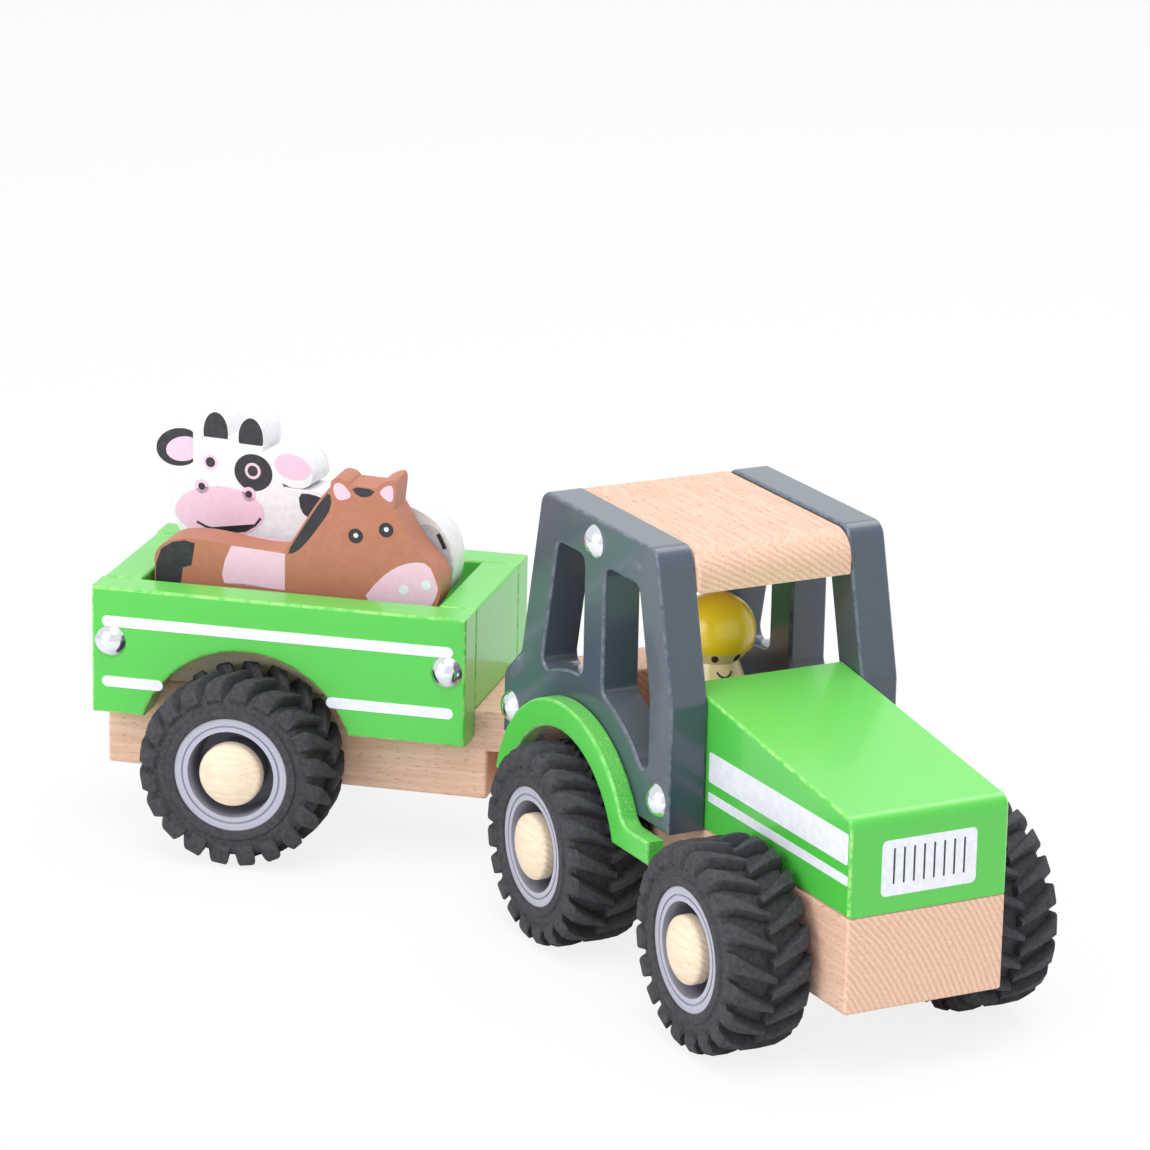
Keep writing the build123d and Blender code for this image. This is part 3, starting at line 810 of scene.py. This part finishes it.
BAR_COUNT = 8
BAR_SPACING = 3.17
BAR_HALF_WIDTH = 0.28
first = -(BAR_COUNT - 1) / 2 * BAR_SPACING
bar_outline = bar(first - BAR_HALF_WIDTH, 57.1, first + BAR_HALF_WIDTH, 67.4, 0.25)
form = bmesh.new()
add_plate(form, bar_outline, Matrix.Identity(4), PRINT_LIFT)
bar_sizes = {"Count": BAR_COUNT, "Spacing": BAR_SPACING * MM, "Material": black_paint}
bars = run_tree("bar_maker", as_mesh("grille_bar", form), bar_row, bar_sizes)
bars.transform(nose_plane)
shown_piece("grille_bars", bars, "tractor", black_paint)
print("grille faces:", len(bars.polygons))

# %% [markdown]
# ## The trailer's stripes
#
# The box has one long stripe and, level with the wheel arch, two short ones, all with
# fully round ends.

# %% Trailer stripes
BOX_HALF = 37.0
STRIPE_END = 1.69
BOX_STRIPES = [
    (-140.6, 68.7, -29.9, 72.1, STRIPE_END),
    (-140.7, 49.5, -121.2, 52.9, STRIPE_END),
    (-69.4, 49.5, -29.7, 52.9, STRIPE_END),
]
box_plates = side_stripes(BOX_STRIPES, trailer_at, BOX_HALF)
print_piece("box_stripes", box_plates, "trailer", white_print)

# %% [markdown]
# ## Animal faces
#
# The animals are cut from board and painted on both flat faces. Each colour is one piece,
# and what lies on top of another colour is lifted a little more.

# %% Planes of the animals' faces
INSIDE_X = -131.0
FLOOR_Z = 64.7
THICK = 12.5


def animal_faces(x, back_y, turn):
    """Front and back planes of an animal: x along it, y out of the board, z up."""
    corner = trailer_at @ Matrix.Translation((x * MM, back_y * MM, FLOOR_Z * MM))
    corner = corner @ Matrix.Rotation(radians(turn), 4, "Z")
    front = corner @ Matrix.Translation((0, -THICK * MM, 0)) @ Matrix.Diagonal((1, -1, 1, 1))
    return front, corner


def animal_paint(name, animal, outlines, lift, material):
    """One colour of an animal's markings, on its front and its back."""
    body, faces = animal
    plates = [(outline, face, lift) for outline in outlines for face in faces]
    return print_piece(name, plates, body, material)


horse = "horse", animal_faces(INSIDE_X, -4.5, 0.0)
cow = "cow", animal_faces(INSIDE_X, 24.0, -8.0)
sheep = "sheep", animal_faces(INSIDE_X + 51.0, 10.0, 0.0)

# %% [markdown]
# ## The horse's markings
#
# A pink saddle, muzzle and inner ears come first, then the black rump, mane, fringe and
# eyes, and last the white glints and nostrils.

# %% Horse
saddle = [
    (25.2, 26.9), (42.3, 25.9), (42.3, 14.2), (36.0, 14.6),
    (31.0, 15.2), (22.9, 14.8), (22.2, 17.5), (23.2, 22.3),
]
muzzle = [
    (66.6, 13.2), (72.0, 20.4), (77.0, 24.6), (82.0, 26.7), (87.6, 27.0),
    (90.5, 20.5), (90.7, 17.5), (87.0, 10.4), (79.0, 8.6),
]
ear_back = [(57.4, 49.0), (57.7, 46.2), (59.2, 43.9), (63.6, 45.5), (61.8, 48.3), (59.4, 50.0)]
ear_front = [(71.5, 47.4), (76.3, 44.2), (76.4, 49.5), (75.4, 50.4), (73.6, 49.7)]
pinks = [saddle, softened(muzzle, 1), softened(ear_back), softened(ear_front)]
animal_paint("horse_pink", horse, pinks, FIRST_COAT, pink_paint)
rump = [
    (13.5, 26.6), (12.4, 19.6), (9.6, 18.6), (8.4, 9.6), (1.0, 9.6),
    (1.0, 19.0), (2.7, 24.0), (6.2, 26.4), (10.3, 27.3),
]
mane = [
    (42.7, 25.9), (47.3, 33.6), (53.4, 43.3), (56.4, 46.9),
    (57.0, 41.8), (53.3, 35.9), (48.6, 29.4), (45.4, 26.4),
]
fringe = [(62.9, 48.9), (70.9, 48.5), (69.0, 46.1), (65.3, 45.8)]
eyes = [oval(64.6, 33.5, 2.3, 2.3), oval(74.2, 36.2, 2.3, 2.3)]
blacks = [rump, softened(mane, 1), softened(fringe, 1), *eyes]
animal_paint("horse_black", horse, blacks, SECOND_COAT, black_paint)
glints = [oval(64.7, 33.7, 0.75, 0.75), oval(74.3, 36.4, 0.75, 0.75)]
nostrils = [oval(80.0, 17.8, 1.6, 1.6), oval(87.0, 19.9, 1.6, 1.6)]
animal_paint("horse_white", horse, glints + nostrils, THIRD_COAT, white_print)

# %% [markdown]
# ## The cow's markings
#
# The horns, the near ear, the patch round one eye and a spot on the flank are black. The
# ears' insides, the muzzle and the rings round the eyes are pink, under small black dots
# and a smile. An ear stops where the head begins and a horn at the hairline, which cuts
# their ovals straight there.

# %% Cow
HAIRLINE_Z = 53.0
EAR_END_X = 5.6


def ear_oval(x, z, wide, high):
    """An ear's oval, cut off at the head."""
    return [(min(a, EAR_END_X), b) for a, b in oval(x, z, wide, high, 15)]


def horn_oval(x, z, hairline):
    """A horn's oval, cut off at the hairline."""
    return [(a, max(b, hairline)) for a, b in oval(x, z, 4.2, 6.6)]


horns = [horn_oval(13.4, 54.6, HAIRLINE_Z), horn_oval(25.4, 54.0, HAIRLINE_Z - 0.8)]
eye_patch = oval(26.3, 43.4, 6.5, 5.9)
flank = [(41.6, 38.6), (46.0, 39.0), (52.0, 37.5), (52.6, 32.0), (46.0, 30.6), (42.4, 33.0)]
blacks = [ear_oval(1.0, 48.6, 8.2, 6.0), *horns, eye_patch, softened(flank, 1)]
animal_paint("cow_black", cow, blacks, FIRST_COAT, black_paint)
ears = [ear_oval(2.4, 48.2, 6.2, 3.9), oval(39.6, 46.8, 6.2, 4.0, -8)]
muzzle = [oval(14.8, 29.4, 15.4, 8.2, 5), oval(8.6, 36.9, 2.4, 2.3), oval(24.8, 36.3, 2.4, 2.3)]
eye_rings = [oval(11.6, 45.0, 2.4, 2.4), oval(26.1, 43.9, 2.7, 2.6)]
animal_paint("cow_pink", cow, ears + muzzle + eye_rings, SECOND_COAT, pink_paint)
smile_line = [(6.9, 25.3), (10.0, 24.1), (14.0, 23.3), (19.0, 23.4)]
smile_line += [(23.6, 24.4), (27.0, 26.6), (28.9, 29.1)]
nostrils = [oval(8.6, 36.9, 1.15, 1.15), oval(24.8, 36.3, 1.15, 1.15)]
pupils = [oval(11.6, 45.0, 1.6, 1.6), oval(26.1, 43.9, 1.75, 1.7)]
dots = [*nostrils, *pupils, stroke(smile_line, 0.8)]
animal_paint("cow_dots", cow, dots, THIRD_COAT, black_paint)

# %% [markdown]
# ## The sheep's face
#
# All that the sheep has is one slanting eye on a grey patch at the front of its wool, and that grey
# patch is painted shade of the board's front face.

# %% Sheep
# Painted shade: a grey oval on both faces of the sheep, round its eye.
sheep_shade_patch = oval(33.0, 22.5, 7.2, 12.5, 8)
animal_paint("sheep_front_painted_shade", sheep, [sheep_shade_patch], FIRST_COAT, sheep_painted_shade)
slanting_eye = stroke([(35.5, 32.1), (36.4, 30.4), (37.3, 28.6), (37.7, 27.5)], 1.3)
animal_paint("sheep_eye", sheep, [slanting_eye], SECOND_COAT, black_paint)

# %% [markdown]
# ## The driver's face
#
# Two dot eyes and a small smile are painted on the round head. Flat dots would stand off
# a ball, so each outline is wrapped: its points are distances round the head and heights
# on it, lifted a hair above the surface.

# %% Driver's eyes and smile
FACE_RADIUS = HELMET_RADIUS - 0.6
HEAD_Z = 93.6
CHIN_Z = 85.0
NECK_RADIUS = 6.5
NECK_SLOPE = 0.39
FACE_TURN = radians(-9)
FACE_COAT = 0.12
FACE_FOOT = -0.3


def on_face(around, z, lift):
    """A point on the head above the chin or on the neck below it, a lift off the surface."""
    if z > CHIN_Z:
        flat = (FACE_RADIUS**2 - (z - HEAD_Z) ** 2) ** 0.5
    else:
        flat = NECK_RADIUS + (CHIN_Z - z) * NECK_SLOPE
    turn = FACE_TURN + around / FACE_RADIUS
    reach = (flat + lift) * MM
    return driver_middle + Vector((reach * cos(turn), reach * sin(turn), z * MM))


def wrapped_dot(form, around, z, radius):
    """A domed dot that follows the head: rings of points round its middle."""
    middle = form.verts.new(on_face(around, z, FACE_COAT))
    rings = []
    for share, lift in ((0.5, FACE_COAT), (1.0, 0.1), (1.0, FACE_FOOT)):
        outline = oval(around, z, radius * share, radius * share, steps=18)
        rings.append([form.verts.new(on_face(a, b, lift)) for a, b in outline])
    inner, rim, base = rings
    foot = form.verts.new(on_face(around, z, FACE_FOOT))
    for i in range(len(inner)):
        j = (i + 1) % len(inner)
        form.faces.new((middle, inner[i], inner[j]))
        form.faces.new((foot, base[j], base[i]))
    bridge(form, inner, rim)
    bridge(form, rim, base)


def wrapped_line(form, points, width):
    """A painted line that follows the neck, built in short boxes."""
    outline = stroke(points, width)
    top = [form.verts.new(on_face(a, z, FACE_COAT)) for a, z in outline]
    foot = [form.verts.new(on_face(a, z, FACE_FOOT)) for a, z in outline]
    last = len(outline) - 1
    for i in range(len(points) - 1):
        form.faces.new((top[i], top[i + 1], top[last - i - 1], top[last - i]))
        form.faces.new((foot[i + 1], foot[i], foot[last - i], foot[last - i - 1]))
    bridge(form, foot, top)


EYE_AROUND = 4.3
smile = [(-3.4, 83.0), (-2.3, 82.1), (-1.2, 81.6), (0.0, 81.4), (1.2, 81.6), (2.3, 82.1), (3.4, 83.0)]
form = bmesh.new()
for around in (-EYE_AROUND, EYE_AROUND):
    wrapped_dot(form, around, 87.2, 1.3)
wrapped_line(form, smile, 0.6)
shown_piece("driver_face", as_mesh("driver_face", form), "driver", black_paint)

# %% [markdown]
# ## Studio
#
# A white floor and three large soft lamps: one high over the front, one on the viewer's
# side and one high behind.
# Camera rays see the floor and the sky partly as plain white, which keeps a soft shadow
# under the wheels without any more light on the toy.

# %% Floor and sky
FLOOR_REACH = 6
FLOOR_GAP = 0.0002
FLOOR_GLOW = 0.84
form = bmesh.new()
for x, y in ((-1, -1), (1, -1), (1, 1), (-1, 1)):
    form.verts.new((x * FLOOR_REACH, y * FLOOR_REACH, cad_box[0][2] - FLOOR_GAP))
form.faces.new(form.verts)
floor_mesh = bpy.data.meshes.new("floor")
form.to_mesh(floor_mesh)
form.free()
floor = bpy.data.objects.new("floor", floor_mesh)
bpy.context.scene.collection.objects.link(floor)
floor_paint = bpy.data.materials.new("studio_floor")
floor_paint.use_nodes = True
tree = floor_paint.node_tree
matt = tree.nodes["Principled BSDF"]
matt.inputs["Base Color"].default_value = (0.9, 0.9, 0.9, 1)
matt.inputs["Roughness"].default_value = 1.0
glow = add_node(tree, "ShaderNodeEmission", [("Color", (1, 1, 1, 1)), ("Strength", 1.0)])
ray = add_node(tree, "ShaderNodeLightPath")
seen = sums(tree, "MULTIPLY", ray.outputs["Is Camera Ray"], FLOOR_GLOW)
blend = add_node(tree, "ShaderNodeMixShader", [(0, seen), (1, matt.outputs[0]), (2, glow.outputs[0])])
tree.links.new(blend.outputs[0], tree.nodes["Material Output"].inputs["Surface"])
floor_mesh.materials.append(floor_paint)

world = bpy.data.worlds.new("studio")
bpy.context.scene.world = world
world.use_nodes = True
tree = world.node_tree
sky = tree.nodes["Background"]
sky.inputs["Color"].default_value = (1, 1, 1, 1)
ray = add_node(tree, "ShaderNodeLightPath")
seen = sums(tree, "MAXIMUM", ray.outputs["Is Camera Ray"], ray.outputs["Is Glossy Ray"])
strength = add_node(tree, "ShaderNodeMapRange", [(0, seen), (3, 0.66), (4, 1.0)])
tree.links.new(strength.outputs[0], sky.inputs["Strength"])


# %% Lamps
def soft_lamp(name, spot, target, size, power):
    """A square lamp that faces a point."""
    light = bpy.data.lights.new(name, "AREA")
    light.size = size
    light.energy = power
    lamp = bpy.data.objects.new(name, light)
    lamp.location = spot
    lamp.rotation_euler = (Vector(target) - Vector(spot)).to_track_quat("-Z", "Y").to_euler()
    bpy.context.scene.collection.objects.link(lamp)


soft_lamp("key", (0.5, -0.25, 1.3), (0, 0, 0.05), 0.9, 9.0)
soft_lamp("side", (0.25, -1.3, 0.6), (0, 0, 0.06), 0.9, 8.0)
soft_lamp("rear", (-0.35, 0.9, 1.3), (0, 0, 0.06), 0.9, 6.0)

# %% [markdown]
# ## Camera
#
# A long lens from the front right, a little above the roof, as a product picture of this
# size is taken. Its place is given by the point it looks at, two angles and a distance.

# %% Camera
AZIMUTH, ELEVATION, ROLL = radians(62.12), radians(16.51), radians(1.19)
LOOKED_AT = Vector((0.13076, -0.1794, 0.19975))
DISTANCE = 1.1252
LENS = 156.9
back = Vector((sin(AZIMUTH) * cos(ELEVATION), -cos(AZIMUTH) * cos(ELEVATION), sin(ELEVATION)))
level = Vector((0, 0, 1)).cross(back).normalized()
upright = back.cross(level)
right = level * cos(ROLL) + upright * sin(ROLL)
up = upright * cos(ROLL) - level * sin(ROLL)
turned = Matrix((right, up, back)).transposed().to_4x4()
lens = bpy.data.cameras.new("studio_camera")
lens.lens = LENS
lens.sensor_width = 36.0
camera = bpy.data.objects.new("studio_camera", lens)
camera.matrix_world = Matrix.Translation(tractor_at @ LOOKED_AT + back * DISTANCE) @ turned
bpy.context.scene.collection.objects.link(camera)
bpy.context.scene.camera = camera
bpy.context.scene.view_settings.view_transform = "Standard"
